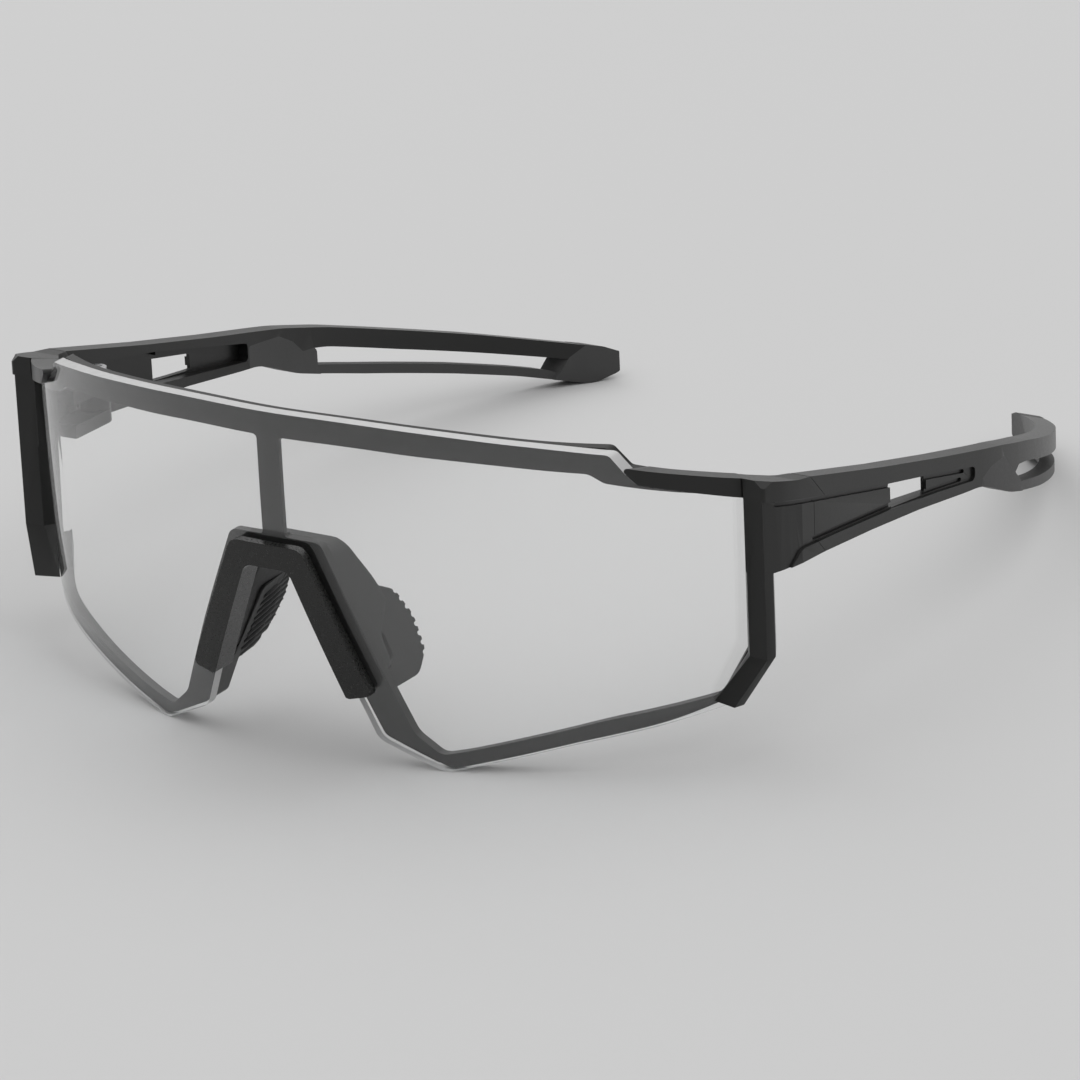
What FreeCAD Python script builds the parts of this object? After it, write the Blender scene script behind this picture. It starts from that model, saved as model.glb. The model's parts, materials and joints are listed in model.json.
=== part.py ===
import FreeCAD, Part
import math
import os

# Wraparound sport sunglasses.  All lengths are millimetres.
# X runs across the face, -Y is the side the wearer looks to, +Z is up.
# The glasses stand as they rest on a table: on the two low corners of the
# lens and on the undersides of the two ear socks.

# ---- overall sizes ---------------------------------------------------------
HALF_WIDTH = 73.0        # outer face of a temple arm, from the centre plane
LENS_HEIGHT = 58.8       # table to the top edge of the lens, on the centre plane
TEMPLE_REACH = 166.5     # lens low corner to the end of the ear tip

# ---- lens and front --------------------------------------------------------
LENS_T = 2.0             # shield thickness
FRAME_T = 1.6            # rim depth behind the shield
NOSE_BACK = 3.2          # flat back of the deeper rim beside the lower nose
POST_T = 0.9             # depth of the centre post behind the shield
WRAP_R = 88.0            # plan radius of the shield across the nose and eyes
WRAP_JOIN = 52.0         # half width at which the tighter side curve begins
SIDE_R = 58.0            # plan radius of the two shield ends
VERTICAL_R = 500.0       # side-view radius of the shield
VERTICAL_TOP = 50.0      # height of the foremost point of the side view
APEX_Y = -6.47           # foremost point of the shield
LENS_END_ANGLE = 59.5    # where the shield ends inside its side channel
LIP = 1.3                # how far the frame lips stand proud of the shield
BROW_SLOPE = 0.27        # fall of the brow top towards the hinge, mm per mm
POST_HALF = 2.0          # half width of the centre post
CLIP_T = 1.7             # front thickness of the nose bridge clip

# ---- temples ---------------------------------------------------------------
ARM_T = 3.5              # temple bar thickness
WEB_T = 1.0              # web left between the two bars
RECESS = 0.5             # outer panel set back from the bars
GROOVE = 0.4             # shadow lines along the panel, deeper than the panel
BEND_START = 93.0        # where the temple starts to turn behind the ear
BEND_R = 108.0           # radius of that turn, outer face
SOCK_ARM_T = 2.6         # thickness of the rubber lower arm

# ---- hinge -----------------------------------------------------------------
HINGE_R = 2.5            # knuckle radius
HINGE_IN = 5.8           # pin centre, in from the outer face of the arm
HINGE_Y = 42.6
PIN_R = 0.8
HEAD_R = 1.6
HEAD_H = 0.8

# ---- named clearances ------------------------------------------------------
SEAT = 0.08              # around the shield in its channel, all sides
SOFT_SEAT = 0.05         # rubber nose piece on the frame
BUTT = 0.10              # arm end to lug end, glasses open
KNUCKLE = 0.10           # between stacked knuckles, each side of the tongue
PIN_FIT = 0.05           # pin in the turning knuckle, radial
THREAD_FIT = 0.03        # pin in the insert, radial
SWING = 0.35             # arm inner side around the fork ears

kx = HALF_WIDTH / 73.0
kz = LENS_HEIGHT / 58.8
FRONT_Y = 30.0           # rear of the front, where the temple scale takes over
ky = (TEMPLE_REACH - FRONT_Y * kx) / (166.5 - FRONT_Y)
FAR = 220.0


def V(x, y, z):
    return FreeCAD.Vector(x, y, z)


PLANES = {
    "xz": (lambda a, b, c: V(a, c, b), V(0, 1, 0)),
    "yz": (lambda a, b, c: V(c, a, b), V(1, 0, 0)),
    "xy": (lambda a, b, c: V(a, b, c), V(0, 0, 1)),
}


def rounded(points, plane, level):
    """Closed wire through (a, b, corner radius) points, corners rounded."""
    put = PLANES[plane][0]
    corners = []
    count = len(points)
    for i, (a, b, r) in enumerate(points):
        here = V(a, b, 0)
        back = V(points[i - 1][0], points[i - 1][1], 0) - here
        ahead = V(points[(i + 1) % count][0], points[(i + 1) % count][1], 0) - here
        room = 0.48 * min(back.Length, ahead.Length)
        back.normalize()
        ahead.normalize()
        half = math.acos(max(-1.0, min(1.0, back.dot(ahead)))) / 2
        if r <= 0 or half > math.radians(89.8):
            corners.append((here, None, here))
            continue
        t = min(r / math.tan(half), room)
        r = t * math.tan(half)
        bisect = (back + ahead).normalize()
        middle = here + bisect * (r / math.sin(half) - r)
        corners.append((here + back * t, middle, here + ahead * t))
    edges = []
    for i, (start, middle, end) in enumerate(corners):
        if middle is not None:
            arc = [put(p.x, p.y, level) for p in (start, middle, end)]
            edges.append(Part.Arc(*arc).toShape())
        after = corners[(i + 1) % count][0]
        if end.distanceToPoint(after) > 1e-4:
            edges.append(Part.makeLine(put(end.x, end.y, level), put(after.x, after.y, level)))
    return Part.Wire(Part.__sortEdges__(edges))


def prism(points, plane, lo, hi):
    face = Part.Face(rounded(points, plane, lo))
    return face.extrude(PLANES[plane][1] * (hi - lo))


def mirrored(points):
    """Right half outline (from the centre line out and back) made whole."""
    return points + [(-a, b, r) for a, b, r in reversed(points)]


def mirror(shape):
    return shape.mirror(V(0, 0, 0), V(1, 0, 0))


def cyl(r, x, y, z0, z1):
    return Part.makeCylinder(r, z1 - z0, V(x, y, z0))


def box(x0, x1, y0, y1, z0, z1):
    return Part.makeBox(x1 - x0, y1 - y0, z1 - z0, V(x0, y0, z0))


def fuse(*shapes):
    out = shapes[0].fuse(list(shapes[1:])) if len(shapes) > 1 else shapes[0]
    return out.removeSplitter()


def solid(shape):
    """The one solid of a boolean result."""
    return max(shape.Solids, key=lambda s: s.Volume)


# ---- the wrapped shell every front part is cut from ------------------------
JOIN = WRAP_JOIN * kx
R1 = WRAP_R * kx
R2 = SIDE_R * kx
JOIN_A = math.asin(JOIN / R1)
SIDE_X = JOIN - R2 * math.sin(JOIN_A)
SIDE_Y = APEX_Y + R1 - R1 * math.cos(JOIN_A) + R2 * math.cos(JOIN_A)
END_A = math.radians(75.0)


def lean(z):
    return (z - VERTICAL_TOP * kz) ** 2 / (2 * VERTICAL_R)


def section(front, back, z):
    def at(side, angle, off):
        r = R2 - off
        return V(side * (SIDE_X + r * math.sin(angle)), SIDE_Y - r * math.cos(angle) + lean(z), z)

    def curve(off):
        mid = (JOIN_A + END_A) / 2
        ends = [at(-1, END_A, off), at(-1, mid, off), at(-1, JOIN_A, off),
                V(0, APEX_Y + off + lean(z), z),
                at(1, JOIN_A, off), at(1, mid, off), at(1, END_A, off)]
        return [Part.Arc(*ends[i:i + 3]).toShape() for i in (0, 2, 4)], ends

    ahead, a = curve(front)
    behind, b = curve(back)
    caps = [Part.makeLine(a[-1], b[-1]), Part.makeLine(a[0], b[0])]
    return Part.Wire(Part.__sortEdges__(ahead + behind + caps))


def shell(front, back):
    heights = [-14.0, 8.0, 30.0, 52.0, 80.0]
    return Part.makeLoft([section(front, back, z * kz) for z in heights], True, False)


def wedge(angle):
    """Plan wedge that keeps everything inboard of a radial cut."""
    x = SIDE_X + FAR * math.sin(angle)
    y = SIDE_Y - FAR * math.cos(angle)
    outline = [(-x, y, 0), (x, y, 0), (SIDE_X, SIDE_Y, 0), (0, SIDE_Y + 60, 0), (-SIDE_X, SIDE_Y, 0)]
    return prism(outline, "xy", -30, 120)


def px(points, grow=0.0):
    """Front-view outline in design millimetres, scaled and grown a little."""
    mid = 29.0 * kz
    return [((a * kx) * (1 + grow / 60.0), mid + (b * kz - mid) * (1 + grow / 26.0), r)
            for a, b, r in points]


# ---- front-view outlines, right half, from the top centre outwards ---------
TOP_EDGE = [(14, 58.55, 200), (30, 57.2, 200), (44, 55.2, 200)]
RIM_TOP = [(a, b - 0.3, r) for a, b, r in TOP_EDGE]
LENS_HALF = TOP_EDGE + [
    (52.4, 53.5, 1.2), (54.4, 50.1, 0.6), (56.0, 49.1, 0.8),
    (69.5, 43.8, 1.0), (69.5, 16.5, 2.0), (64.4, 9.2, 3.0),
    (57.0, 7.35, 60), (45.0, 4.85, 60), (34.0, 1.9, 30),
    (26.6, -0.05, 2.5), (16.3, 5.0, 3.0), (4.9, 33.9, 3.0)]
RIM_HALF = RIM_TOP + [
    (51.2, 54.0, 1.2), (53.4, 50.5, 1.0), (60.8, 47.5, 60), (65.4, 45.4, 0), (65.4, 12.0, 0.5),
    (63.2, 9.9, 1.0), (57.0, 7.5, 60), (45.0, 5.0, 60), (34.0, 2.1, 30),
    (26.6, 0.2, 2.5), (17.0, 5.8, 3.0), (5.2, 34.3, 3.0)]
WINDOW = [
    (POST_HALF, 54.1, 0.8), (14.0, 54.1, 200), (34.5, 52.4, 200), (48.6, 50.2, 2.0),
    (50.6, 48.5, 2.0), (66.6, 43.4, 0.9), (66.6, 17.0, 1.5), (61.8, 10.7, 1.2),
    (49.2, 8.6, 60), (40.0, 6.2, 60), (29.0, 3.3, 30), (25.2, 2.5, 2.0), (21.3, 6.0, 4.0),
    (15.6, 20.2, 0), (8.3, 37.3, 2.0), (POST_HALF, 37.5, 0.6)]
NOSE_HALF = [(13.3, 13.2, 0.3), (16.6, 5.4, 2.0), (25.0, 1.0, 0.3), (25.0, 2.0, 0.3),
             (17.9, 6.2, 2.5), (14.9, 13.2, 0.3)]
CLIP_HALF = [(6.6, 36.9, 2.5), (16.9, 13.1, 0.8), (12.5, 12.1, 0.8), (4.1, 32.9, 2.0)]
CLIP_WALL = [(4.6, 33.8, 2.4), (13.2, 12.7, 0.3), (12.5, 12.1, 0.8), (4.1, 32.9, 2.0)]


def arch(points):
    """Closed inverted-U outline from its right half (outer then inner)."""
    n = len(points) // 2
    right_out, right_in = points[:n], points[n:]
    left_out = [(-a, b, r) for a, b, r in reversed(right_out)]
    left_in = [(-a, b, r) for a, b, r in reversed(right_in)]
    return right_out + right_in + left_in + left_out


def make_lens(grow=0.0):
    outline = px(mirrored(LENS_HALF), grow)
    body = prism(outline, "xz", -30, 70)
    angle = math.radians(LENS_END_ANGLE) + grow / R2
    return body.common(shell(-grow, LENS_T + grow)).common(wedge(angle))


# ---- side view of lug and temple, (y, z) -----------------------------------
TOP_LINE = [(33.0, 45.3), (46.4, 41.9), (60.0, 38.3), (80.0, 33.3), (100.8, 28.4),
            (113.0, 25.0), (128.0, 20.3), (143.4, 15.5), (158.5, 10.5)]
LOW_LINE = [(25.4, 31.6), (39.4, 30.7), (56.0, 29.0), (72.0, 27.0), (87.4, 24.6),
            (93.3, 23.8), (97.3, 22.1), (104.0, 19.0), (110.0, 17.1), (121.0, 13.9),
            (140.1, 8.8), (150.7, 5.8), (158.7, 3.1)]


def along(y):
    """Design depth to real depth: the front scales with the width."""
    return y * kx if y < FRONT_Y else FRONT_Y * kx + (y - FRONT_Y) * ky


def yz(points):
    return [(along(a), b * kz, r) for a, b, r in points]


def strip(near, away, y0, y1):
    """Plan strip of the temple between two depths from its outer face."""
    bend = along(BEND_START)
    r = BEND_R * ky
    cx = HALF_WIDTH - r

    def at(off, y):
        if y <= bend:
            return V(HALF_WIDTH - off, y, 0)
        a = math.asin(min(0.999, (y - bend) / r))
        return V(cx + (r - off) * math.cos(a), bend + (r - off) * math.sin(a), 0)

    def mid(off, y):
        a = math.asin(min(0.999, (y - bend) / r)) / 2
        return V(cx + (r - off) * math.cos(a), bend + (r - off) * math.sin(a), 0)

    y0, y1 = along(y0), along(y1)
    edges = []
    for off in (near, away):
        if y0 < bend:
            edges.append(Part.makeLine(at(off, y0), at(off, min(y1, bend))))
        if y1 > bend:
            edges.append(Part.Arc(at(off, bend), mid(off, y1), at(off, y1)).toShape())
    edges += [Part.makeLine(at(near, y0), at(away, y0)), Part.makeLine(at(near, y1), at(away, y1))]
    face = Part.Face(Part.Wire(Part.__sortEdges__(edges)))
    face.translate(V(0, 0, -10))
    return face.extrude(V(0, 0, 80))


def side(points):
    return prism(yz(points), "yz", -5, FAR)


def soft(line, r=60):
    return [(a, b, r) for a, b in line]


SEAM_Y = 39.0
HX = HALF_WIDTH - HINGE_IN
HY = along(HINGE_Y)
EARS = [36.7, 39.2]      # upper fork ear, bottom and top
LOWER_EAR = [30.9, 33.2]


def panel_side():
    """Side view of the sunk panel between the top bar and the bottom rib."""
    edge = [(44.0, 39.3), (52.7, 37.2), (63.4, 34.6), (74.0, 32.2)]
    under = [(78.0, 27.9), (62.0, 30.3), (44.0, 32.4)]
    return side([(15.0, 46.5, 0), (25.0, 44.0, 60)] + soft(edge) + [(91.0, 28.0, 1), (91.0, 25.6, 1)]
                + soft(under) + [(34.0, 33.4, 3), (30.5, 31.0, 1), (29.5, 20.0, 0), (15.0, 20.0, 0)])


def shadow_lines():
    """Side view of the two narrow grooves, under the top bar and over the bottom rib."""
    high = [(44.0, 39.0), (52.7, 36.9), (63.4, 34.3), (74.0, 31.9), (88.0, 28.5)]
    low = [(38.0, 34.1), (44.0, 33.4), (62.0, 31.3), (78.0, 28.9), (87.0, 27.4)]
    high = [(27.5, 43.1)] + high
    return [side(soft(line) + soft([(a, b - 0.7) for a, b in reversed(line)])) for line in (high, low)]


def arm_recess():
    panel = panel_side().common(strip(-2.0, RECESS, 36, 95))
    return [panel] + [line.common(strip(-2.0, RECESS + GROOVE, 36, 95)) for line in shadow_lines()]


def lug_recess():
    """The same panel and lines carried forward round the front corner."""
    def beyond(depth):
        plan = [(60.0, 18.0, 0), (60.0, 25.9, 0), (67.8, 25.4, 0), (71.7 - depth, 25.5 - RECESS, 0.5),
                (72.9 - depth, 30.0, 30), (73.0 - depth, 35.0, 0), (73.0 - depth, 46.0, 0),
                (80.0, 46.0, 0), (80.0, 18.0, 0)]
        return prism(outboard(plan), "xy", -10, 80)
    return [panel_side().common(beyond(RECESS))] + [
        line.common(beyond(RECESS + GROOVE)) for line in shadow_lines()]


def outboard(points):
    """Plan points that keep their distance from the outer face."""
    return [(a - 73.0 + HALF_WIDTH, along(b), r) for a, b, r in points]


COLUMN = [(67.8, 25.4), (71.2, 25.0), (71.6, 27.0), (69.4, 31.0), (64.6, 29.6)]
HOOK_END = [(62.9, 22.4), (67.2, 21.2), (67.9, 23.0), (66.4, 27.6), (61.6, 26.2)]
SEAM = [(37.0, 44.45), (41.4, 39.9), (38.8, 39.9), (38.7, 33.2), (41.2, 30.55)]


def slanted(points):
    """Front-view outline carried back along the fall of the brow."""
    lo = -30.0
    face = Part.Face(rounded([(a, b - BROW_SLOPE * lo, r) for a, b, r in px(points)], "xz", lo))
    return face.extrude(V(0, 1, -BROW_SLOPE) * 100)


def make_lug():
    """Brow lip, lower hook, side channel and hinge lug of the +X side."""
    brow = [(54.2, 54.8, 0.5), (57.4, 54.45, 60), (66.0, 54.1, 60), (74.0, 54.1, 0),
            (74.0, 50.6, 0), (67.2, 50.9, 60), (61.9, 51.45, 60), (56.5, 52.0, 0.5)]
    behind = prism(px(WINDOW), "xz", -40, 80).common(shell(LENS_T + SEAT, LENS_T + FRAME_T + 1))
    front = box(0, FAR, -30, 29.0 * kx, -10, 80)
    brow = slanted(brow).common(shell(-LIP, LENS_T + FRAME_T)).common(front).cut(behind)
    bar = section_at(COLUMN, 17.6).extrude(V(0, 0, 42.4 * kz))
    bar = bar.common(slanted([(0, 54.1, 0), (90, 54.1, 0), (90, 0, 0), (0, 0, 0)]))
    ends = [section_at(COLUMN, 17.6).OuterWire, section_at(HOOK_END, 10.3).OuterWire]
    hook = Part.makeLoft(ends, True, True)
    plan = [(67.8, 25.0, 0), (71.6, 24.6, 0.8), (72.6, 29.0, 30), (73.0, 34.0, 0),
            (73.0, 43.0, 0), (69.5, 43.0, 0), (69.5, 38.0, 0), (68.6, 34.0, 0), (65.4, 29.6, 0)]
    profile = [(23.5, 47.8, 0), (33.0, 45.2, 0)] + [(a, b, 0) for a, b in SEAM] + [
        (39.4, 30.7, 0), (23.5, 31.8, 0)]
    lug = prism(outboard(plan), "xy", -10, 80).common(side(profile)).cut(lug_recess())
    return fuse(brow, hook, bar, lug).cut(corner_chamfer())


def section_at(points, z):
    """Plan face of the side column at one height."""
    around = [V(a * kx, b * kx, z * kz) for a, b in points]
    return Part.Face(Part.makePolygon(around + around[:1]))


def corner_chamfer():
    """Slab above the plane that takes off the front outer corner of the brow."""
    slab = Part.makeBox(40, 40, 20, V(-20, -20, 0))
    slab.Placement = FreeCAD.Placement(
        V(HALF_WIDTH - 1.4, along(24.6), 46.0 * kz), FreeCAD.Rotation(V(0, 0, 1), V(0.6, -0.4, 0.69)))
    return slab


def fork_ears():
    ears = []
    for lo, hi in (EARS, LOWER_EAR):
        lo, hi = lo * kz, hi * kz
        root = box(HX - HINGE_R, HX + 2.4, along(34.0), along(38.6), lo, hi)
        neck = box(HX - HINGE_R, HX + 1.9, along(38.0), HY, lo, hi)
        ears.append(fuse(cyl(HINGE_R, HX, HY, lo, hi), root, neck))
    return ears


def pin_space(shape):
    """Head pocket, pin bore and insert pocket in the fork."""
    top, bottom = EARS[1] * kz, LOWER_EAR[0] * kz
    shape = shape.cut(cyl(PIN_R + PIN_FIT, HX, HY, bottom - 1, top + 1))
    return shape.cut(cyl(INSERT_R, HX, HY, bottom - 1, bottom + INSERT_H))


def nose_wall(grow=0.0):
    """Deeper rim beside the lower nose, fading out towards the low corner."""
    wall = prism(px(NOSE_HALF), "xz", -30, NOSE_BACK * kx + grow)
    return wall.common(shell(LENS_T + SEAT, 20))


def make_frame():
    rim = prism(px(mirrored(RIM_HALF)), "xz", -30, 70)
    window = prism(px(WINDOW), "xz", -40, 80)
    rim = rim.cut(window).cut(mirror(window))
    rim = rim.common(shell(LENS_T + SEAT, LENS_T + FRAME_T))
    post = box(-POST_HALF - 0.5, POST_HALF + 0.5, -30, 30, 38.0 * kz, 53.6 * kz)
    rim = rim.cut(post.common(shell(LENS_T + POST_T, LENS_T + FRAME_T + 1)))
    nose = nose_wall()
    lug = fuse(make_lug(), *fork_ears())
    lug = pin_space(lug)
    whole = fuse(rim, nose, mirror(nose), lug, mirror(lug))
    return solid(whole.cut(make_lens(SEAT)))


def make_clip():
    front = prism(px(arch(CLIP_HALF)), "xz", -30, 30).common(shell(-CLIP_T, -SEAT))
    wall = prism(px(arch(CLIP_WALL)), "xz", -30, 30).common(shell(-CLIP_T, LENS_T + FRAME_T - 0.4))
    return solid(fuse(front, wall))


# ---- soft nose piece -------------------------------------------------------
SADDLE = [(6.4, 34.9, 3.5), (15.6, 15.0, 1.0), (12.9, 14.0, 1.0), (4.4, 32.4, 2.6)]
SADDLE_SIDE = [(-12, 40, 0), (3.9, 40, 0), (5.5, 34.3, 3), (8.2, 28, 3), (9.3, 24, 2),
               (4.4, 20, 2), (3.6, 13.6, 0.5), (-12, 13.6, 0)]
PAD = [(1.0, 8.2, 1.0), (7.6, 8.8, 4), (11.7, 6.5, 3), (13.4, 1.5, 6), (12.8, -4.2, 3),
       (9.3, -7.3, 3), (1.2, -7.6, 2)]
PAD_T = 2.4
PAD_TILT = math.degrees(math.atan(0.5))
PAD_AT = (12.9, 18.8)
PAD_EDGE = [(-9.0, 8.1), (-7.0, 10.5), (-4.2, 12.6), (1.5, 13.2), (6.5, 11.6), (9.0, 7.5)]
RIBS = 9
RIB_PITCH = 1.55
RIB_R = 0.38
WIRE_R = 0.6
WIRE = [(12.6, 7.0, 17.0), (11.2, 5.4, 20.4), (10.9, 3.4, 23.0), (9.0, 2.6, 27.0), (4.9, 1.0, 33.2)]


def make_saddle():
    body = prism(px(arch(SADDLE)), "xz", -30, 30)
    body = body.common(shell(LENS_T + FRAME_T + SOFT_SEAT, 25))
    return body.common(prism([(a, b * kz, r) for a, b, r in SADDLE_SIDE], "yz", -40, 40))


def pad_place(shape):
    shape.rotate(V(0, 0, 0), V(0, 1, 0), -PAD_TILT)
    shape.rotate(V(0, 0, 0), V(0, 0, 1), -5.0)
    shape.translate(V(PAD_AT[0] * kx, 0, PAD_AT[1] * kz))
    return shape


def make_pad():
    body = prism([(a, b * kz, r) for a, b, r in PAD], "yz", -PAD_T, 0)
    for i in range(RIBS):
        z = (i - (RIBS - 1) / 2) * RIB_PITCH * kz
        groove = Part.makeCylinder(RIB_R, 20, V(-PAD_T - 0.1, 3.0, z - 0.8), V(0, 1, 0.17))
        notch = Part.makeCylinder(RIB_R, 6, V(-PAD_T - 1, rear_edge(z), z), V(1, 0, 0))
        body = body.cut(groove).cut(notch)
    pocket = [(2.6, 1.6, 1.2), (5.4, 1.6, 1.2), (5.4, -3.4, 1.2), (2.6, -3.4, 1.2)]
    pocket = prism(pocket, "yz", -0.7, 1)
    return pad_place(body.cut(pocket))


def rear_edge(z):
    """Rear silhouette of the pad, used to notch the ends of the ribs."""
    z = z / kz
    for (a, b), (c, d) in zip(PAD_EDGE, PAD_EDGE[1:]):
        if z <= c:
            return b + (d - b) * (z - a) / (c - a)
    return PAD_EDGE[-1][1]


def make_wire():
    half = [V(a * kx, b, c * kz) for a, b, c in WIRE]
    path = half + [V(-p.x, p.y, p.z) for p in reversed(half)]
    parts = [Part.makeSphere(WIRE_R, p) for p in path]
    for a, b in zip(path, path[1:]):
        parts.append(Part.makeCylinder(WIRE_R, (b - a).Length, a, b - a))
    return fuse(*parts)


# ---- temple arm and ear sock, +X side --------------------------------------
UPPER_BAR_LOW = [(158.2, 7.7), (143.4, 12.1), (128.0, 16.7), (112.0, 21.7), (108.4, 22.5)]
SOCK_OUT = [(93.3, 20.0, 0), (93.3, 25.0, 0.6), (96.8, 26.1, 4), (101.9, 26.2, 0.3),
            (109.4, 19.0, 2.0), (112.0, 10.0, 0)]
SOCK_IN = [(90.4, 20.0, 0), (90.4, 28.3, 0.5), (99.5, 27.3, 1.5), (103.2, 25.2, 1.5),
           (105.8, 22.6, 1.0), (109.4, 22.4, 1.2), (109.4, 18.6, 1.2), (113.0, 10.0, 0)]
TIP = [(158.4, 7.8, 0.4), (161.6, 10.2, 0), (163.4, 9.2, 3), (167.0, 7.0, 1.4), (165.6, 3.8, 2),
       (161.8, 2.0, 3), (156.0, 3.9, 0), (157.0, 5.2, 0.5)]
WINDOW_SIDE = [(63.3, 34.3, 0.4), (75.2, 31.6, 0.4), (75.2, 28.6, 0.4), (63.3, 30.2, 0.4)]
INNER_FRONT = [(47.5, 39.4, 1), (62.6, 36.2, 0), (62.6, 30.3, 0), (47.5, 32.3, 1)]
INNER_REAR = [(62.6, 36.2, 0.5), (90.0, 29.0, 0.8), (90.0, 25.7, 0.8), (62.6, 30.3, 0.5)]


def make_sock():
    total = side(soft(TOP_LINE) + [(163.4, 9.0, 3), (166.9, 6.9, 1.4), (165.6, 3.8, 2), (161.8, 2.1, 3)]
                 + soft(list(reversed(LOW_LINE)), 25))
    outer = side(SOCK_OUT).common(strip(0, ARM_T / 2, 88, 120))
    inner = side(SOCK_IN).common(strip(ARM_T / 2, ARM_T, 88, 120))
    upper = [(106.0, 19.0), (110.0, 18.8), (121.0, 15.7), (140.1, 10.6), (150.7, 7.5), (157.4, 5.3)]
    lower = [(160.0, 1.0), (150.0, 1.0), (121.0, 8.0), (106.0, 14.0)]
    arm = side(soft(upper, 30) + [(a, b, 0) for a, b in lower])
    arm = arm.common(strip(0.3, 0.3 + SOCK_ARM_T, 104, 166))
    tip = side(TIP).common(strip(0, ARM_T, 150, 168))
    return solid(fuse(outer, inner, arm, tip).common(total))


def make_arm(sock):
    start = [(a + BUTT, b, 0) for a, b in SEAM]
    bar = soft(TOP_LINE[1:-1]) + [(158.5, 10.5, 0), (161.4, 9.55, 0), (158.4, 7.5, 0.3)]
    bar += soft(UPPER_BAR_LOW[1:-1]) + [(108.4, 22.4, 0.5), (101.0, 19.0, 0)]
    bar += soft(list(reversed(LOW_LINE[2:7])), 25) + list(reversed(start))
    body = side(bar).common(strip(0, ARM_T, 36, 166))
    body = body.cut(arm_recess()).cut(side(WINDOW_SIDE))
    body = body.cut(side(INNER_FRONT).common(strip(2.6, ARM_T + 2, 40, 92)))
    body = body.cut(side(INNER_REAR).common(strip(RECESS + WEB_T, ARM_T + 2, 40, 92)))
    swing = cyl(HINGE_R + SWING, HX, HY, LOWER_EAR[0] * kz - SWING, EARS[1] * kz + SWING)
    body = body.cut(swing)
    lo, hi = LOWER_EAR[1] * kz + KNUCKLE, EARS[0] * kz - KNUCKLE
    tongue = fuse(cyl(HINGE_R, HX, HY, lo, hi), box(HX, HX + 3.6, HY - 1.2, HY + HINGE_R, lo, hi))
    body = fuse(body, tongue).cut(cyl(PIN_R + PIN_FIT, HX, HY, lo - 1, hi + 1))
    return solid(body.cut(sock))


# ---- hinge hardware --------------------------------------------------------
INSERT_R = 1.45
INSERT_FIT = 0.01
INSERT_H = 1.5
WASHER_T = 0.25


def make_screw():
    top = EARS[1] * kz + WASHER_T + 0.02
    foot = LOWER_EAR[0] * kz + 0.15
    body = fuse(cyl(PIN_R, HX, HY, foot, top + 0.1), cyl(HEAD_R, HX, HY, top, top + HEAD_H))
    for turn in (0, 90):
        slot = Part.makeBox(2.0, 0.36, 0.5, V(HX - 1.0, HY - 0.18, top + HEAD_H - 0.42))
        slot.rotate(V(HX, HY, 0), V(0, 0, 1), turn + 20)
        body = body.cut(slot)
    return solid(body)


def make_washer():
    z = EARS[1] * kz + 0.01
    return cyl(HEAD_R + 0.3, HX, HY, z, z + WASHER_T).cut(cyl(PIN_R + PIN_FIT, HX, HY, z - 1, z + 1))


def make_insert():
    z = LOWER_EAR[0] * kz
    body = cyl(INSERT_R - INSERT_FIT, HX, HY, z, z + INSERT_H - INSERT_FIT)
    return body.cut(cyl(PIN_R + THREAD_FIT, HX, HY, z - 1, z + 3))


# ---- assembly --------------------------------------------------------------
def build():
    wire = make_wire()
    saddle = make_saddle()
    pad = make_pad().cut(shell(-12, LENS_T + FRAME_T + SOFT_SEAT)).cut(nose_wall(SOFT_SEAT))
    sock = make_sock()
    arm = make_arm(sock)
    nodes = {
        "front_frame": make_frame(),
        "shield_lens": solid(make_lens()),
        "nose_bridge_clip": make_clip(),
        "nose_saddle": solid(saddle.cut(wire)),
        "nose_wire": wire,
    }
    pairs = {
        "nose_pad": solid(pad.cut(saddle).cut(wire)),
        "temple_arm": arm,
        "ear_sock": sock,
        "hinge_screw": make_screw(),
        "hinge_washer": make_washer(),
        "hinge_insert": make_insert(),
    }
    for name, shape in pairs.items():
        nodes["left_" + name] = shape
        nodes["right_" + name] = mirror(shape)
    return nodes


def settle(nodes):
    """Lower the temples until lens corners and ear socks share the table."""
    for _ in range(3):
        front = nodes["shield_lens"].optimalBoundingBox().ZMin
        rear = nodes["left_ear_sock"].optimalBoundingBox().ZMin
        tilt = math.degrees(math.atan2(rear - front, along(161.0)))
        for shape in nodes.values():
            shape.rotate(V(0, 0, 0), V(1, 0, 0), -tilt)
    boxes = [shape.optimalBoundingBox() for shape in nodes.values()]
    y_mid = (min(b.YMin for b in boxes) + max(b.YMax for b in boxes)) / 2
    z_low = min(b.ZMin for b in boxes)
    for shape in nodes.values():
        shape.translate(V(0, -y_mid, -z_low))


os.makedirs("parts", exist_ok=True)
assembly = build()
settle(assembly)
for name, shape in assembly.items():
    shape.exportStep(os.path.join("parts", name + ".step"))
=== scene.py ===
import json
import math

import bmesh
import bpy
from mathutils import Matrix, Vector


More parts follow.
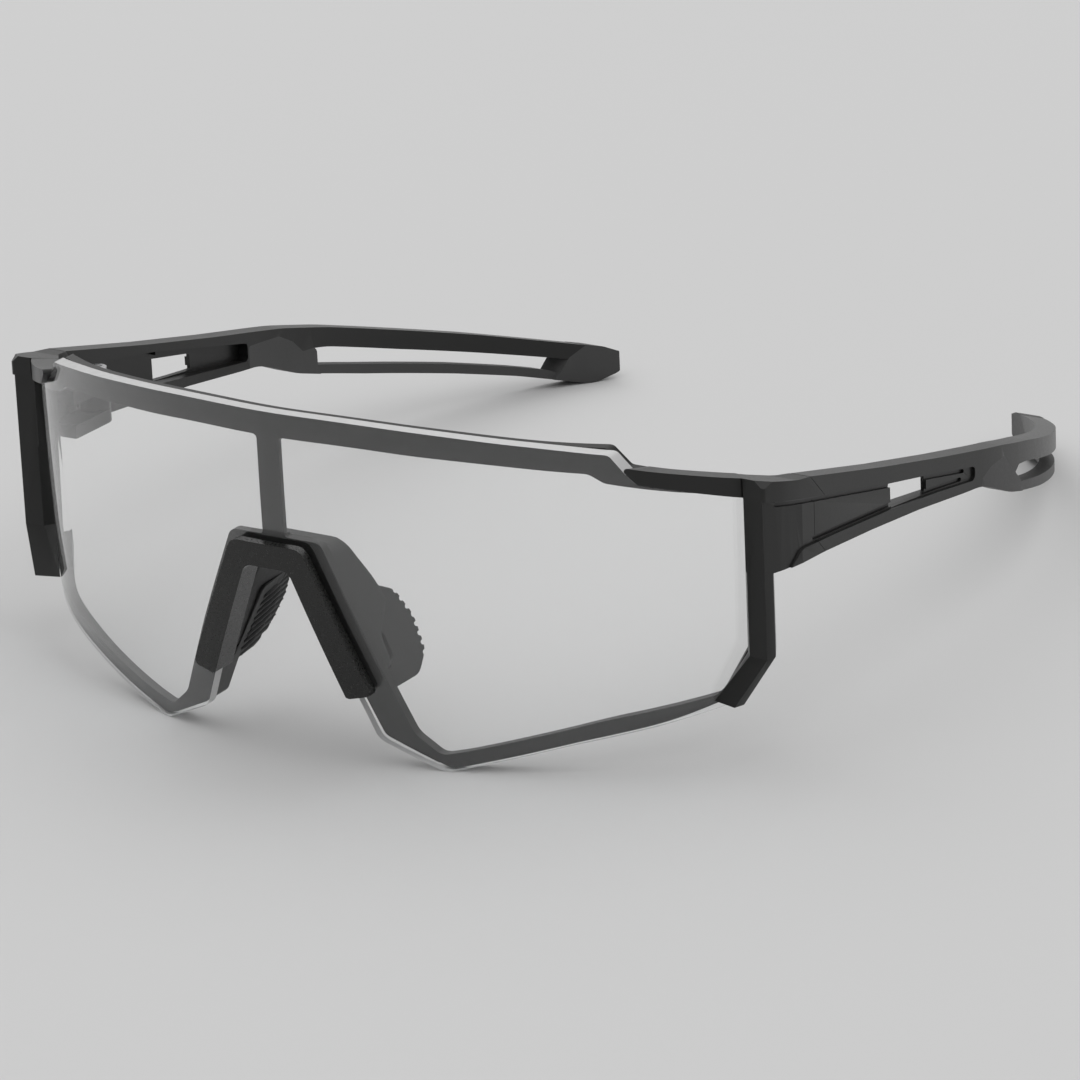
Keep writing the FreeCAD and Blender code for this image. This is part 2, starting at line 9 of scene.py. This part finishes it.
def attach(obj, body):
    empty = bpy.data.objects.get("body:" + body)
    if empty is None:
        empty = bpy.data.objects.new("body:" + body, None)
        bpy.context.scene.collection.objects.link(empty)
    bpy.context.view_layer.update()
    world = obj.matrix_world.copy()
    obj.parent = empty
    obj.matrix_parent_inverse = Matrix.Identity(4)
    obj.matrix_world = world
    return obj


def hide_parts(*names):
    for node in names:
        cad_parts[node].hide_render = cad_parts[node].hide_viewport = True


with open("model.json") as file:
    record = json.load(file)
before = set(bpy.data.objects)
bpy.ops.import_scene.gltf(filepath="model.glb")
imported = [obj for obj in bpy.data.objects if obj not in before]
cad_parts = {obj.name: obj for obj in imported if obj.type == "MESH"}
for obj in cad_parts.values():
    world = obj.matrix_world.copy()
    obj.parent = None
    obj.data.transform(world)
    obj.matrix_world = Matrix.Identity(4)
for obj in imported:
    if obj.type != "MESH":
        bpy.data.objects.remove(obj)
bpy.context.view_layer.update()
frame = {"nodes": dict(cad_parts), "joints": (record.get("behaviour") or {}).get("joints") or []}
MM = 0.001
NODES = frame["nodes"]
MERGE = 2e-6             # points closer than this, in metres, are one point
FLAT_ANGLE = 0.6         # degrees under which neighbouring facets become one face
SHARP_ANGLE = 28.0       # degrees over which an edge is rounded and shaded as an edge
FACE_LIMIT = 0.8         # how squarely a facet of the shield must face its wrap


# ---- small node helpers ----------------------------------------------------
def link(tree, a, b):
    tree.links.new(a, b)


def node(tree, kind, **values):
    """A node with its plain properties and its named or numbered inputs set."""
    made = tree.nodes.new(kind)
    for key, value in values.items():
        if key.startswith("in_"):
            name = key[3:]
            socket = made.inputs[int(name)] if name.isdigit() else made.inputs[name.replace("_", " ")]
            socket.default_value = value
        else:
            setattr(made, key, value)
    return made


def shader_group(name, inputs, outputs):
    tree = bpy.data.node_groups.new(name, "ShaderNodeTree")
    for label, kind, value in inputs:
        made = tree.interface.new_socket(label, in_out="INPUT", socket_type=kind)
        if value is not None:
            made.default_value = value
    for label, kind in outputs:
        tree.interface.new_socket(label, in_out="OUTPUT", socket_type=kind)
    return tree, tree.nodes.new("NodeGroupInput"), tree.nodes.new("NodeGroupOutput")


FLOAT, COLOR, VECTOR = "NodeSocketFloat", "NodeSocketColor", "NodeSocketVector"


def moulded_skin():
    """Fine spark-eroded grain with a slow drift of shade and gloss."""
    tree, start, end = shader_group(
        "moulded_skin",
        [("Grain size", FLOAT, 2400.0), ("Drift size", FLOAT, 55.0), ("Dark", COLOR, (0, 0, 0, 1)),
         ("Light", COLOR, (0, 0, 0, 1)), ("Gloss low", FLOAT, 0.4), ("Gloss high", FLOAT, 0.5)],
        [("Color", COLOR), ("Roughness", FLOAT), ("Height", FLOAT)])
    place = node(tree, "ShaderNodeTexCoord")
    grain = node(tree, "ShaderNodeTexNoise", in_Detail=3.0, in_Roughness=0.6)
    drift = node(tree, "ShaderNodeTexNoise", in_Detail=2.0)
    for tex, size in ((grain, "Grain size"), (drift, "Drift size")):
        link(tree, place.outputs["Object"], tex.inputs["Vector"])
        link(tree, start.outputs[size], tex.inputs["Scale"])
    shade = node(tree, "ShaderNodeMix", data_type="RGBA")
    link(tree, drift.outputs["Fac"], shade.inputs[0])
    link(tree, start.outputs["Dark"], shade.inputs[6])
    link(tree, start.outputs["Light"], shade.inputs[7])
    gloss = node(tree, "ShaderNodeMapRange", in_1=0.3, in_2=0.7)
    link(tree, grain.outputs["Fac"], gloss.inputs[0])
    link(tree, start.outputs["Gloss low"], gloss.inputs[3])
    link(tree, start.outputs["Gloss high"], gloss.inputs[4])
    link(tree, shade.outputs[2], end.inputs["Color"])
    link(tree, gloss.outputs[0], end.inputs["Roughness"])
    link(tree, grain.outputs["Fac"], end.inputs["Height"])
    return tree


def resting_dust():
    """A faint uneven film on what faces up."""
    tree, start, end = shader_group(
        "resting_dust", [("Patch size", FLOAT, 160.0), ("Film", FLOAT, 0.1)], [("Mask", FLOAT)])
    place = node(tree, "ShaderNodeTexCoord")
    patch = node(tree, "ShaderNodeTexNoise", in_Detail=4.0)
    link(tree, place.outputs["Object"], patch.inputs["Vector"])
    link(tree, start.outputs["Patch size"], patch.inputs["Scale"])
    uneven = node(tree, "ShaderNodeMapRange", in_1=0.35, in_2=0.7)
    link(tree, patch.outputs["Fac"], uneven.inputs[0])
    facing = node(tree, "ShaderNodeNewGeometry")
    split = node(tree, "ShaderNodeSeparateXYZ")
    link(tree, facing.outputs["Normal"], split.inputs[0])
    upward = node(tree, "ShaderNodeMapRange", in_1=0.2, in_2=1.0)
    link(tree, split.outputs["Z"], upward.inputs[0])
    film = node(tree, "ShaderNodeMath", operation="MULTIPLY")
    link(tree, upward.outputs[0], film.inputs[0])
    link(tree, start.outputs["Film"], film.inputs[1])
    both = node(tree, "ShaderNodeMath", operation="MULTIPLY")
    link(tree, uneven.outputs[0], both.inputs[0])
    link(tree, film.outputs[0], both.inputs[1])
    link(tree, both.outputs[0], end.inputs["Mask"])
    return tree


SKIN = moulded_skin()
DUST = resting_dust()


def grey(v, tint=(1.0, 1.0, 1.0)):
    return (v * tint[0], v * tint[1], v * tint[2], 1.0)


def plastic(name, dark, light, gloss, grain, bump, dust=0.03, tint=(1, 1, 1), coat=0.0,
            shine=0.36):
    """A moulded finish: dark and light shade, gloss range, grain size and depth in mm."""
    mat = bpy.data.materials.new(name)
    mat.use_nodes = True
    tree = mat.node_tree
    shader = tree.nodes["Principled BSDF"]
    skin = node(tree, "ShaderNodeGroup", node_tree=SKIN)
    skin.inputs["Grain size"].default_value = grain
    skin.inputs["Dark"].default_value = grey(dark, tint)
    skin.inputs["Light"].default_value = grey(light, tint)
    skin.inputs["Gloss low"].default_value = gloss[0]
    skin.inputs["Gloss high"].default_value = gloss[1]
    film = node(tree, "ShaderNodeGroup", node_tree=DUST)
    film.inputs["Film"].default_value = dust
    colour = node(tree, "ShaderNodeMix", data_type="RGBA")
    link(tree, film.outputs["Mask"], colour.inputs[0])
    link(tree, skin.outputs["Color"], colour.inputs[6])
    colour.inputs[7].default_value = grey(0.35)
    relief = node(tree, "ShaderNodeBump", in_Distance=bump * MM, in_Strength=0.6)
    link(tree, skin.outputs["Height"], relief.inputs["Height"])
    link(tree, colour.outputs[2], shader.inputs["Base Color"])
    link(tree, skin.outputs["Roughness"], shader.inputs["Roughness"])
    link(tree, relief.outputs["Normal"], shader.inputs["Normal"])
    shader.inputs["Coat Weight"].default_value = coat
    shader.inputs["Specular IOR Level"].default_value = shine
    return mat


def metal(name, colour, gloss, marks_scale):
    """Bright metal with fine uneven tool marks."""
    mat = bpy.data.materials.new(name)
    mat.use_nodes = True
    tree = mat.node_tree
    shader = tree.nodes["Principled BSDF"]
    place = node(tree, "ShaderNodeTexCoord")
    marks = node(tree, "ShaderNodeTexNoise", in_Scale=marks_scale, in_Detail=2.0)
    link(tree, place.outputs["Object"], marks.inputs["Vector"])
    shade = node(tree, "ShaderNodeMix", data_type="RGBA")
    shade.inputs[6].default_value = grey(0.75, colour)
    shade.inputs[7].default_value = grey(1.0, colour)
    rough = node(tree, "ShaderNodeMapRange", in_3=gloss[0], in_4=gloss[1])
    relief = node(tree, "ShaderNodeBump", in_Distance=0.01 * MM, in_Strength=0.5)
    link(tree, marks.outputs["Fac"], shade.inputs[0])
    link(tree, marks.outputs["Fac"], rough.inputs[0])
    link(tree, marks.outputs["Fac"], relief.inputs["Height"])
    link(tree, shade.outputs[2], shader.inputs["Base Color"])
    link(tree, rough.outputs[0], shader.inputs["Roughness"])
    link(tree, relief.outputs["Normal"], shader.inputs["Normal"])
    shader.inputs["Metallic"].default_value = 1.0
    return mat


def clear_lens():
    """Hard-coated polycarbonate: clear, sharp, with a breath of uneven polish."""
    mat = bpy.data.materials.new("clear_polycarbonate")
    mat.use_nodes = True
    tree = mat.node_tree
    shader = tree.nodes["Principled BSDF"]
    shader.inputs["Transmission Weight"].default_value = 1.0
    shader.inputs["IOR"].default_value = 1.58
    place = node(tree, "ShaderNodeTexCoord")
    haze = node(tree, "ShaderNodeTexNoise", in_Scale=30.0, in_Detail=4.0)
    link(tree, place.outputs["Object"], haze.inputs["Vector"])
    rough = node(tree, "ShaderNodeMapRange", in_1=0.35, in_2=0.75, in_3=0.0, in_4=0.012)
    link(tree, haze.outputs["Fac"], rough.inputs[0])
    link(tree, rough.outputs[0], shader.inputs["Roughness"])
    tone = node(tree, "ShaderNodeMix", data_type="RGBA")
    tone.inputs[6].default_value = (0.985, 0.99, 0.99, 1)
    tone.inputs[7].default_value = (1.0, 1.0, 1.0, 1)
    link(tree, haze.outputs["Fac"], tone.inputs[0])
    link(tree, tone.outputs[2], shader.inputs["Base Color"])
    path = node(tree, "ShaderNodeLightPath")
    let_through = node(tree, "ShaderNodeBsdfTransparent")
    let_through.inputs["Color"].default_value = (0.9, 0.92, 0.93, 1)
    both = node(tree, "ShaderNodeMixShader")
    link(tree, path.outputs["Is Shadow Ray"], both.inputs[0])
    link(tree, shader.outputs[0], both.inputs[1])
    link(tree, let_through.outputs[0], both.inputs[2])
    link(tree, both.outputs[0], tree.nodes["Material Output"].inputs["Surface"])
    return mat


def ground_edge():
    """The cut and lightly ground rim of the shield, bright where it catches light."""
    mat = bpy.data.materials.new("ground_lens_edge")
    mat.use_nodes = True
    tree = mat.node_tree
    shader = tree.nodes["Principled BSDF"]
    place = node(tree, "ShaderNodeTexCoord")
    marks = node(tree, "ShaderNodeTexNoise", in_Scale=900.0, in_Detail=3.0)
    link(tree, place.outputs["Object"], marks.inputs["Vector"])
    tone = node(tree, "ShaderNodeMix", data_type="RGBA")
    tone.inputs[6].default_value = grey(0.86)
    tone.inputs[7].default_value = grey(0.97)
    rough = node(tree, "ShaderNodeMapRange", in_3=0.12, in_4=0.3)
    relief = node(tree, "ShaderNodeBump", in_Distance=0.01 * MM, in_Strength=0.4)
    link(tree, marks.outputs["Fac"], tone.inputs[0])
    link(tree, marks.outputs["Fac"], rough.inputs[0])
    link(tree, marks.outputs["Fac"], relief.inputs["Height"])
    link(tree, tone.outputs[2], shader.inputs["Base Color"])
    link(tree, rough.outputs[0], shader.inputs["Roughness"])
    link(tree, relief.outputs["Normal"], shader.inputs["Normal"])
    shader.inputs["Transmission Weight"].default_value = 0.35
    shader.inputs["IOR"].default_value = 1.58
    return mat


NYLON = plastic("satin_black_nylon", 0.0085, 0.013, (0.32, 0.38), 2600.0, 0.0014, dust=0.010,
                tint=(1.0, 1.0, 0.95), coat=0.05)
CLIP = plastic("gloss_black_nylon", 0.0075, 0.011, (0.26, 0.30), 2600.0, 0.0008, dust=0.006,
               tint=(1.0, 1.0, 0.92), coat=0.08, shine=0.42)
SOFT_PAD = plastic("ribbed_silicone", 0.018, 0.027, (0.52, 0.60), 1800.0, 0.0015, dust=0.015)
SOFT_SOCK = plastic("soft_touch_rubber", 0.046, 0.072, (0.44, 0.52), 2000.0, 0.0015, dust=0.015)
STEEL = metal("turned_steel", (0.62, 0.62, 0.63), (0.2, 0.38), 1500.0)
BRASS = metal("turned_brass", (0.80, 0.60, 0.30), (0.22, 0.4), 1500.0)
WIRE = metal("drawn_wire", (0.55, 0.55, 0.56), (0.25, 0.4), 1200.0)
LENS = clear_lens()
LENS_EDGE = ground_edge()


# ---- pieces made finer from their solids -----------------------------------
def finer(name, body, material, edge, segments=3):
    """A merged copy of a solid with its edges rounded, standing in for it."""
    mesh = NODES[name].data.copy()
    mesh.name = name + "_fine"
    bm = bmesh.new()
    bm.from_mesh(mesh)
    bmesh.ops.remove_doubles(bm, verts=bm.verts, dist=MERGE)
    bmesh.ops.dissolve_degenerate(bm, edges=bm.edges, dist=MERGE)
    bmesh.ops.dissolve_limit(bm, angle_limit=math.radians(FLAT_ANGLE), verts=bm.verts, edges=bm.edges)
    for face in bm.faces:
        face.smooth = True
    bm.to_mesh(mesh)
    bm.free()
    piece = bpy.data.objects.new(name + "_fine", mesh)
    bpy.context.scene.collection.objects.link(piece)
    mesh.materials.clear()
    mesh.materials.append(material)
    if edge > 0:
        bevel = piece.modifiers.new("round_edges", "BEVEL")
        bevel.width = edge * MM
        bevel.segments = segments
        bevel.limit_method = "ANGLE"
        bevel.angle_limit = math.radians(SHARP_ANGLE)
        bevel.use_clamp_overlap = True
        bevel.miter_outer = "MITER_ARC"
        bevel.harden_normals = True
    mesh.set_sharp_from_angle(angle=math.radians(SHARP_ANGLE))
    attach(piece, body)
    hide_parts(name)
    return piece


# the shield's wrap, the same radii as its solid, in millimetres
WRAP_R, SIDE_R, WRAP_JOIN, APEX_Y = 88.0, 58.0, 52.0, -6.47
LEAN_R, LEAN_TOP, THICKNESS = 500.0, 50.0, 2.0
JOIN_SIN = WRAP_JOIN / WRAP_R
SIDE_X = WRAP_JOIN - SIDE_R * JOIN_SIN
SIDE_Y = APEX_Y + WRAP_R - (WRAP_R - SIDE_R) * math.sqrt(1 - JOIN_SIN ** 2)
PIN = Vector((67.2, 42.6, 34.0))


def design_frame():
    """The left pin's resting place, and the turn that sets the front upright again."""
    joint = next(j for j in frame["joints"] if j["name"] == "left_temple_fold")
    tilt = math.atan2(joint["axis"][1], joint["axis"][2])
    return Vector(joint["pos_m"]), Matrix.Rotation(tilt, 3, "X")


def wrap_normal(x, z):
    """Outward direction of the shield's front face at a place in front view."""
    a = abs(x)
    if a <= WRAP_JOIN:
        rise = a / math.sqrt(WRAP_R ** 2 - a ** 2)
    else:
        rise = (a - SIDE_X) / math.sqrt(max(1.0, SIDE_R ** 2 - (a - SIDE_X) ** 2))
    return Vector((math.copysign(rise, x), -1.0, (z - LEAN_TOP) / LEAN_R)).normalized()


def polished_shield():
    """The shield with its two faces shaded as true curves and its rim ground."""
    mesh = NODES["shield_lens"].data.copy()
    mesh.name = "shield_lens_fine"
    bm = bmesh.new()
    bm.from_mesh(mesh)
    bmesh.ops.remove_doubles(bm, verts=bm.verts, dist=1e-6)
    bm.to_mesh(mesh)
    bm.free()
    mesh.materials.clear()
    mesh.materials.append(LENS)
    mesh.materials.append(LENS_EDGE)
    pin, upright = design_frame()
    back = upright.inverted()
    normals = [None] * len(mesh.loops)
    for poly in mesh.polygons:
        poly.use_smooth = True
        middle = upright @ ((Vector(poly.center) - pin) / MM) + PIN
        facing = (upright @ poly.normal).dot(wrap_normal(middle.x, middle.z))
        poly.material_index = 0 if abs(facing) > FACE_LIMIT else 1
        for loop in poly.loop_indices:
            if poly.material_index:
                normals[loop] = poly.normal.copy()
                continue
            place = upright @ ((mesh.vertices[mesh.loops[loop].vertex_index].co - pin) / MM) + PIN
            normals[loop] = back @ wrap_normal(place.x, place.z) * math.copysign(1.0, facing)
    mesh.normals_split_custom_set([tuple(n) for n in normals])
    piece = bpy.data.objects.new("shield_lens_fine", mesh)
    bpy.context.scene.collection.objects.link(piece)
    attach(piece, "front")
    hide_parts("shield_lens")
    return piece


def melted(name, body, material, voxel, passes):
    """A moulding with every edge eased into a soft round."""
    piece = finer(name, body, material, 0.0)
    melt = piece.modifiers.new("melt", "REMESH")
    melt.mode, melt.voxel_size, melt.use_smooth_shade = "VOXEL", voxel * MM, True
    ease = piece.modifiers.new("ease", "SMOOTH")
    ease.factor, ease.iterations = 0.5, passes
    return piece


# ribs of a nose pad, in the pad's own millimetres before it is leant and turned
PAD_AT, PAD_LEAN, PAD_TURN = Vector((12.9, 0.0, 18.8)), -math.atan(0.5), math.radians(-5.0)
PAD_FACE, RIB_COUNT, RIB_PITCH, RIB_RADIUS = -2.36, 8, 1.55, 0.42


def rib_rows():
    """Rows of round-ended ribs, shorter towards the top and bottom of the pad."""
    tree = bpy.data.node_groups.new("rib_rows", "GeometryNodeTree")
    tree.interface.new_socket("Geometry", in_out="INPUT", socket_type="NodeSocketGeometry")
    for label, kind, value in (("Count", "NodeSocketInt", RIB_COUNT), ("Pitch", FLOAT, RIB_PITCH * MM),
                               ("Radius", FLOAT, RIB_RADIUS * MM), ("Length", FLOAT, 7.6 * MM),
                               ("Start", FLOAT, 3.1 * MM), ("Slope", FLOAT, 0.17),
                               ("Material", "NodeSocketMaterial", None)):
        made = tree.interface.new_socket(label, in_out="INPUT", socket_type=kind)
        if value is not None:
            made.default_value = value
    tree.interface.new_socket("Geometry", in_out="OUTPUT", socket_type="NodeSocketGeometry")
    start, end = tree.nodes.new("NodeGroupInput"), tree.nodes.new("NodeGroupOutput")

    def math_node(operation, a, b):
        made = node(tree, "ShaderNodeMath", operation=operation)
        for i, v in enumerate((a, b)):
            if isinstance(v, (int, float)):
                made.inputs[i].default_value = v
            elif v is not None:
                link(tree, v, made.inputs[i])
        return made.outputs[0]

    line = node(tree, "GeometryNodeMeshLine")
    link(tree, start.outputs["Count"], line.inputs["Count"])
    row = node(tree, "GeometryNodeInputIndex").outputs[0]
    last = math_node("SUBTRACT", start.outputs["Count"], 1.0)
    off = math_node("SUBTRACT", row, math_node("MULTIPLY", last, 0.5))
    height = math_node("MULTIPLY", off, start.outputs["Pitch"])
    across = math_node("DIVIDE", off, math_node("MULTIPLY", last, 0.62))
    bow = math_node("SQRT", math_node("SUBTRACT", 1.0, math_node("MULTIPLY", across, across)), None)
    length = math_node("MULTIPLY", bow, start.outputs["Length"])
    middle = math_node("ADD", start.outputs["Start"], math_node("MULTIPLY", length, 0.5))
    rise = math_node("ADD", height, math_node("MULTIPLY", math_node("MULTIPLY", length, 0.5),
                                              start.outputs["Slope"]))
    place = node(tree, "ShaderNodeCombineXYZ", in_0=0.0)
    link(tree, middle, place.inputs[1])
    link(tree, rise, place.inputs[2])
    moved = node(tree, "GeometryNodeSetPosition")
    link(tree, line.outputs[0], moved.inputs["Geometry"])
    link(tree, place.outputs[0], moved.inputs["Position"])
    ball = node(tree, "GeometryNodeMeshUVSphere", in_Segments=20, in_Rings=14)
    link(tree, start.outputs["Radius"], ball.inputs["Radius"])
    stretch = node(tree, "ShaderNodeCombineXYZ", in_0=1.0, in_2=1.0)
    link(tree, math_node("DIVIDE", math_node("MULTIPLY", length, 0.5), start.outputs["Radius"]),
         stretch.inputs[1])
    tip = node(tree, "ShaderNodeCombineXYZ", in_1=0.0, in_2=0.0)
    link(tree, math_node("ARCTANGENT", start.outputs["Slope"], None), tip.inputs[0])
    ribs = node(tree, "GeometryNodeInstanceOnPoints")
    link(tree, moved.outputs[0], ribs.inputs["Points"])
    link(tree, ball.outputs[0], ribs.inputs["Instance"])
    link(tree, tip.outputs[0], ribs.inputs["Rotation"])
    link(tree, stretch.outputs[0], ribs.inputs["Scale"])
    real = node(tree, "GeometryNodeRealizeInstances")
    coloured = node(tree, "GeometryNodeSetMaterial")
    link(tree, ribs.outputs[0], real.inputs[0])
    link(tree, real.outputs[0], coloured.inputs["Geometry"])
    link(tree, start.outputs["Material"], coloured.inputs["Material"])
    link(tree, coloured.outputs[0], end.inputs[0])
    return tree


RIB_ROWS = rib_rows()


def ribbed(side):
    """Ribs laid on the face of one pad that touches the nose."""
    seed = bpy.data.meshes.new(side + "_pad_ribs")
    made = bpy.data.objects.new(side + "_pad_ribs", seed)
    bpy.context.scene.collection.objects.link(made)
    rows = made.modifiers.new("rows", "NODES")
    rows.node_group = RIB_ROWS
    for item in RIB_ROWS.interface.items_tree:
        if item.in_out == "INPUT" and item.name == "Material":
            rows[item.identifier] = SOFT_PAD
    bpy.context.view_layer.update()
    ready = made.evaluated_get(bpy.context.evaluated_depsgraph_get())
    mesh = bpy.data.meshes.new_from_object(ready)
    made.modifiers.clear()
    made.data = mesh
    pin, upright = design_frame()
    back = upright.inverted().to_4x4()
    mirror = Matrix.Scale(-1 if side == "right" else 1, 4, Vector((1, 0, 0)))
    lay = (mirror @ Matrix.Translation(pin) @ back @ Matrix.Translation((PAD_AT - PIN) * MM)
           @ Matrix.Rotation(PAD_TURN, 4, "Z") @ Matrix.Rotation(PAD_LEAN, 4, "Y")
           @ Matrix.Translation(Vector((PAD_FACE * MM, 0, 0))))
    mesh.transform(lay)
    if side == "right":
        mesh.flip_normals()
    for poly in mesh.polygons:
        poly.use_smooth = True
    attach(made, "front")
    return made


finer("front_frame", "front", NYLON, 0.30)
polished_shield()
finer("nose_bridge_clip", "front", CLIP, 0.5, segments=4)
melted("nose_saddle", "front", SOFT_PAD, 0.22, 14)
finer("nose_wire", "front", WIRE, 0.0)
for side in ("left", "right"):
    temple = side + "_temple"
    pad = melted(side + "_nose_pad", "front", SOFT_PAD, 0.12, 10)
    ribbed(side)
    finer(side + "_temple_arm", temple, NYLON, 0.26)
    finer(side + "_ear_sock", temple, SOFT_SOCK, 0.5)
    finer(side + "_hinge_screw", "front", STEEL, 0.08)
    finer(side + "_hinge_washer", "front", STEEL, 0.04)
    finer(side + "_hinge_insert", "front", BRASS, 0.05)


# ---- floor, light and camera -----------------------------------------------
def floor():
    mesh = bpy.data.meshes.new("studio_floor")
    half = 6.0
    mesh.from_pydata([(-half, -half, 0), (half, -half, 0), (half, half, 0), (-half, half, 0)], [],
                     [(0, 1, 2, 3)])
    made = bpy.data.objects.new("studio_floor", mesh)
    bpy.context.scene.collection.objects.link(made)
    mat = bpy.data.materials.new("pale_floor")
    mat.use_nodes = True
    shader = mat.node_tree.nodes["Principled BSDF"]
    shader.inputs["Base Color"].default_value = (0.62, 0.62, 0.62, 1)
    shader.inputs["Roughness"].default_value = 0.9
    shader.inputs["Specular IOR Level"].default_value = 0.1
    mesh.materials.append(mat)


def softbox(name, aim, azimuth, elevation, distance, width, height, power):
    """A soft rectangular light at a bearing round the object, facing aim."""
    data = bpy.data.lights.new(name, "AREA")
    data.shape = "RECTANGLE"
    data.size, data.size_y, data.energy = width, height, power
    lamp = bpy.data.objects.new(name, data)
    bpy.context.scene.collection.objects.link(lamp)
    a, e = math.radians(azimuth), math.radians(elevation)
    away = Vector((math.sin(a) * math.cos(e), -math.cos(a) * math.cos(e), math.sin(e)))
    lamp.location = Vector(aim) + away * distance
    lamp.rotation_euler = away.to_track_quat("Z", "Y").to_euler()
    return lamp


def lights():
    """A soft tent: bright overhead and behind, dim on the camera's side, and two lamps."""
    world = bpy.data.worlds.new("studio")
    bpy.context.scene.world = world
    world.use_nodes = True
    tree = world.node_tree
    back = tree.nodes["Background"]
    place = node(tree, "ShaderNodeTexCoord")
    split = node(tree, "ShaderNodeSeparateXYZ")
    link(tree, place.outputs["Generated"], split.inputs[0])
    above = node(tree, "ShaderNodeMapRange", interpolation_type="SMOOTHSTEP", in_1=0.15, in_2=0.95,
                 in_3=0.12, in_4=1.16)
    behind = node(tree, "ShaderNodeMapRange", interpolation_type="SMOOTHSTEP", in_1=-0.3, in_2=0.9,
                  in_3=0.0, in_4=0.30)
    link(tree, split.outputs["Z"], above.inputs[0])
    link(tree, split.outputs["Y"], behind.inputs[0])
    total = node(tree, "ShaderNodeMath", operation="ADD")
    link(tree, above.outputs[0], total.inputs[0])
    link(tree, behind.outputs[0], total.inputs[1])
    back.inputs["Color"].default_value = (1.0, 1.0, 1.0, 1)
    link(tree, total.outputs[0], back.inputs["Strength"])
    middle = (0, 0, 0.03)
    softbox("overhead", middle, 150, 62, 1.6, 1.8, 0.9, 1.6)
    softbox("rear_left", middle, -115, 30, 1.4, 1.2, 0.8, 1.4)


def camera():
    """Three quarters from the wearer's left, a little above, slightly rolled."""
    azimuth, elevation, roll = (math.radians(v) for v in (32.618, 21.478, -3.105))
    aim, distance = Vector((-0.00441, 0.0, 0.00539)), 1.10885
    away = Vector((math.sin(azimuth) * math.cos(elevation), -math.cos(azimuth) * math.cos(elevation),
                   math.sin(elevation)))
    right = (-away).cross(Vector((0, 0, 1))).normalized()
    up = right.cross(-away)
    right, up = (right * math.cos(roll) + up * math.sin(roll),
                 up * math.cos(roll) - right * math.sin(roll))
    data = bpy.data.cameras.new("camera")
    data.lens, data.sensor_width = 218.76, 36.0
    data.clip_start, data.clip_end = 0.05, 50.0
    made = bpy.data.objects.new("camera", data)
    bpy.context.scene.collection.objects.link(made)
    turn = Matrix((right, up, away)).transposed().to_4x4()
    made.matrix_world = Matrix.Translation(aim + away * distance) @ turn
    bpy.context.scene.camera = made


floor()
lights()
camera()
bpy.context.scene.view_settings.view_transform = "Standard"
